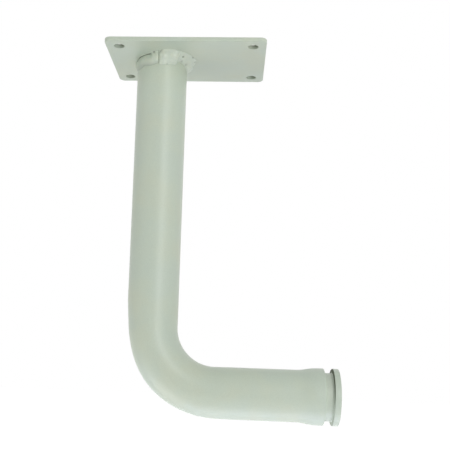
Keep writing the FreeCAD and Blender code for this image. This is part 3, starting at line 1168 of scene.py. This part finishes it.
    def ripples(self) -> ShapeTree:
        """Build the tree that lays ripples and lumps along the runs.

        Returns:
            The tree.
        """
        tree = ShapeTree("weld_ripples", ripple_pitch=self.ripple_pitch, ripple_height=self.ripple_height,
                         lump_size=self.lump_size, lump_height=self.lump_height, seed=self.seed,
                         finish=self.finish.material())
        given = tree.given
        across = tree.read("across")
        place = tree.add("GeometryNodeInputPosition").outputs["Position"]
        clouds = tree.add("ShaderNodeTexNoise", Vector=place, W=given["seed"], Detail=2.5, Roughness=0.5,
                          Scale=tree.sum("DIVIDE", 1.0 / MM, given["lump_size"]),
                          options={"noise_dimensions": "4D"}).outputs["Fac"]
        centred = tree.sum("SUBTRACT", clouds, 0.5)
        lagging = tree.sum("ADD", tree.read("along"), tree.times(across, self.ripple_lag))
        travelled = tree.sum("ADD", lagging, tree.times(centred, self.ripple_wander))
        phase = tree.times(tree.sum("DIVIDE", travelled, given["ripple_pitch"]), 2.0 * math.pi)
        edge = tree.sum("SINE", tree.times(phase, 2.0))
        crest = tree.sum("MULTIPLY_ADD", edge, self.ripple_edge, tree.sum("SINE", phase))
        ripple = tree.times(crest, 0.5, given["ripple_height"])
        height = tree.times(tree.sum("ADD", tree.times(centred, given["lump_height"]), ripple), across, MM)
        normal = tree.add("GeometryNodeInputNormal").outputs["Normal"]
        tree.close(Geometry=given["Geometry"], Offset=tree.scaled(normal, height))
        return tree

    def build(self) -> bpy.types.Object:
        """Melt the runs and lay their ripples."""
        return self.ripples().run(self.blank())

    def dress(self, made: bpy.types.Object) -> None:
        """Give the weld its place in the part; the ripples' tree has painted it.

        Args:
            made: The weld.
        """
        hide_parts("plate_weld")
        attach(made, BODY)


@dataclass
class Lamp:
    """One soft lamp: an area that lights the bracket and isn't seen itself."""

    name: str
    place: Point
    aim: Point
    size: Pair
    power: float
    mirrored: bool = True
    colour: Colour = (1.0, 1.0, 1.0)

    def hang(self) -> None:
        """Hang the lamp."""
        data = bpy.data.lights.new(self.name, "AREA")
        data.shape = "RECTANGLE"
        data.size, data.size_y = self.size
        data.energy = self.power
        data.color = self.colour
        made = Mesher.show(self.name, data)
        made.location = self.place
        made.rotation_euler = (Vector(self.aim) - Vector(self.place)).to_track_quat("-Z", "Y").to_euler()
        made.visible_camera = False
        made.visible_glossy = self.mirrored


@dataclass
class Studio:
    """White floor and surroundings, plain soft lamps and the camera at the photograph's place."""

    floor_height: float = -0.62
    floor_size: float = 9.0
    ambient: float = 0.32
    card_white: float = 0.85
    card_glow: float = 0.75
    camera_place: Point = (0.05164, -0.67564, -0.28292)
    camera_turn: Point = (-0.09955, 0.06423, 0.02894)
    focal_pixels: float = 713.9
    image_centre: Pair = (188.72, 276.77)
    image_size: float = 450.0
    sensor_width: float = 36.0
    lamps: list[Lamp] = field(default_factory=lambda: [
        Lamp("tall_softbox", (0.56, -1.03, 0.04), (0.0, 0.0, -0.20), (0.46, 0.85), 3.95),
        Lamp("right_fill", (1.3, -1.0, 0.3), (0.0, 0.0, -0.2), (1.2, 1.2), 5.3, mirrored=False),
        Lamp("left_fill", (-1.0, -0.6, 0.4), (0.0, 0.0, -0.2), (1.0, 1.0), 3.5, mirrored=False),
        Lamp("back_fill", (0.3, 1.6, 0.1), (0.0, 0.0, -0.2), (1.4, 1.4), 7.0, mirrored=False),
        Lamp("table_left", (-0.34, -0.06, -0.60), (-0.34, -0.06, 0.0), (0.4, 0.3), 0.73),
        Lamp("table_right", (0.45, 0.0, -0.60), (0.45, 0.0, 0.0), (0.4, 0.4), 0.19,
             colour=(0.97, 0.98, 1.18)),
        Lamp("table_middle", (0.10, 0.00, -0.60), (0.10, 0.00, 0.0), (0.4, 0.17), 0.35,
             colour=(0.96, 0.98, 1.22)),
    ])

    def either(self, wiring: Wiring, lighting: Socket, seen: Socket) -> Socket:
        """Choose by the ray: the camera's, and those that gloss or glass send on, show a background.

        Args:
            wiring: The nodes to add to.
            lighting: The shader that lights the bracket.
            seen: The shader that is seen.

        Returns:
            The shader to use.
        """
        path = wiring.add("ShaderNodeLightPath").outputs
        bounced = wiring.sum("MAXIMUM", path["Is Glossy Ray"], path["Is Transmission Ray"])
        shown = wiring.sum("MAXIMUM", path["Is Camera Ray"], bounced)
        return wiring.add("ShaderNodeMixShader", shown, lighting, seen).outputs["Shader"]

    def surroundings(self) -> None:
        """Light the bracket evenly from all round, with white to be seen behind it."""
        world = bpy.data.worlds.new("surroundings")
        bpy.context.scene.world = world
        wiring = Wiring.fresh(world)
        plain, white = (wiring.add("ShaderNodeBackground", Color=WHITE, Strength=strength)
                        for strength in (self.ambient, 1.0))
        shader = self.either(wiring, plain.outputs["Background"], white.outputs["Background"])
        wiring.add("ShaderNodeOutputWorld", Surface=shader)

    def floor(self) -> None:
        """Lay the white floor."""
        half = self.floor_size / 2.0
        mesh = bpy.data.meshes.new("floor")
        mesh.from_pydata([(x * half, y * half, self.floor_height) for x, y in ((-1, -1), (1, -1), (1, 1), (-1, 1))],
                         [], [(0, 1, 2, 3)])
        made = Mesher.show("floor", mesh)
        card = bpy.data.materials.new("white_card")
        wiring = Wiring.fresh(card)
        matt = wiring.add("ShaderNodeBsdfDiffuse", Color=(self.card_white,) * 3 + (1.0,)).outputs["BSDF"]
        glow = wiring.add("ShaderNodeEmission", Color=WHITE, Strength=self.card_glow)
        both = wiring.add("ShaderNodeAddShader", matt, glow.outputs["Emission"])
        wiring.add("ShaderNodeOutputMaterial", Surface=self.either(wiring, matt, both.outputs["Shader"]))
        mesh.materials.append(card)

    def camera(self) -> None:
        """Stand the camera where the photograph was taken from."""
        pitch, yaw, roll = self.camera_turn
        facing = (Matrix.Rotation(roll, 3, "Z") @ Matrix.Rotation(yaw, 3, "Y") @ Matrix.Rotation(pitch, 3, "X")
                  @ Matrix(((1.0, 0.0, 0.0), (0.0, 0.0, -1.0), (0.0, 1.0, 0.0))))
        right, down, ahead = facing
        data = bpy.data.cameras.new("camera")
        data.sensor_width = self.sensor_width
        data.lens = self.focal_pixels / self.image_size * self.sensor_width
        data.shift_x = (self.image_size / 2.0 - self.image_centre[0]) / self.image_size
        data.shift_y = (self.image_centre[1] - self.image_size / 2.0) / self.image_size
        made = Mesher.show("camera", data)
        made.matrix_world = Matrix.Translation(self.camera_place) @ Matrix((right, -down, -ahead)).transposed().to_4x4()
        bpy.context.scene.camera = made

    def set_up(self) -> None:
        """Put up the whole studio."""
        bpy.context.scene.view_settings.view_transform = "Standard"
        self.surroundings()
        self.floor()
        for lamp in self.lamps:
            lamp.hang()
        self.camera()


def main() -> None:
    """Build the bracket piece by piece, logging each piece's faces and finish, then the studio."""
    logging.basicConfig(level=logging.INFO, format="%(name)s: %(message)s")
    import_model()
    for maker in (MountingPlate(), BentTube(), EndSpigot(), PlateWeld()):
        made = maker.build()
        maker.dress(made)
        log.info("%s: %d faces, finish %s", made.name, len(made.data.polygons), maker.finish.name)
    Studio().set_up()


if __name__ == "__main__":
    main()
